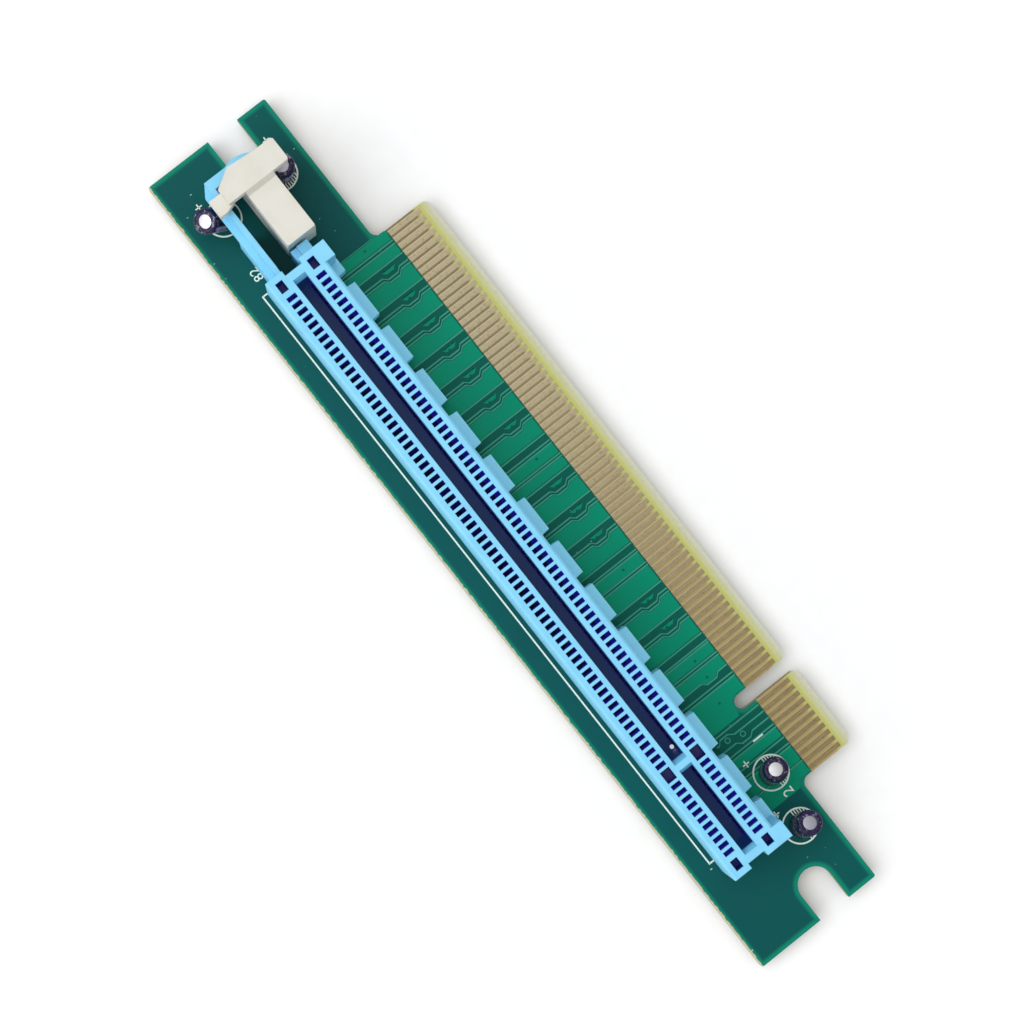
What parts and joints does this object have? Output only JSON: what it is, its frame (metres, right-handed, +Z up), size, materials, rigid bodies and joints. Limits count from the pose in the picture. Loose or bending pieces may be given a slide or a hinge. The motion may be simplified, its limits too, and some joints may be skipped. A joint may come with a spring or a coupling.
{
  "type": "pcie riser card",
  "caption": "Green riser board with a keyed gold edge tab, an upright light-blue card socket with a rocking ivory latch, small can capacitors and open screw notches.",
  "frame": {"origin": "middle of the board's outline in plan, at the level of the lowest solder tips", "axes": "+X along the board from the latch end, +Y towards the finger tab, +Z up out of the component face, the way a card leaves the socket"},
  "size_m": [0.1208, 0.026, 0.0146],
  "materials": {
    "solder_mask_board": "green solder mask over glass laminate",
    "gold_plating": "worn gold plating",
    "housing_plastic": "light blue moulded plastic",
    "contact_metal": "plated spring metal",
    "latch_plastic": "ivory moulded plastic",
    "can_aluminium": "satin",
    "sleeve_film": "dark shrunk film",
    "tinned_wire": "tinned"
  },
  "bodies": {
    "card": {"circuit_board": "solder_mask_board", "edge_fingers_front": "gold_plating", "edge_fingers_back": "gold_plating", "slot_housing": "housing_plastic", "contacts_tab_side_inner": "contact_metal", "contacts_tab_side_outer": "contact_metal", "contacts_plain_side_inner": "contact_metal", "contacts_plain_side_outer": "contact_metal", "capacitor_1_can": "can_aluminium", "capacitor_1_sleeve": "sleeve_film", "capacitor_1_leads": "tinned_wire", "capacitor_2_can": "can_aluminium", "capacitor_2_sleeve": "sleeve_film", "capacitor_2_leads": "tinned_wire", "capacitor_3_can": "can_aluminium", "capacitor_3_sleeve": "sleeve_film", "capacitor_3_leads": "tinned_wire", "capacitor_4_can": "can_aluminium", "capacitor_4_sleeve": "sleeve_film", "capacitor_4_leads": "tinned_wire"},
    "latch": {"retention_latch": "latch_plastic"}
  },
  "joints": [
    {"name": "latch_rock", "type": "hinge", "parent": "card", "child": "latch", "pos_m": [-0.0485, -0.0035, 0.0057], "axis": [-1, 0, 0], "range_deg": [0, 25]}
  ]
}
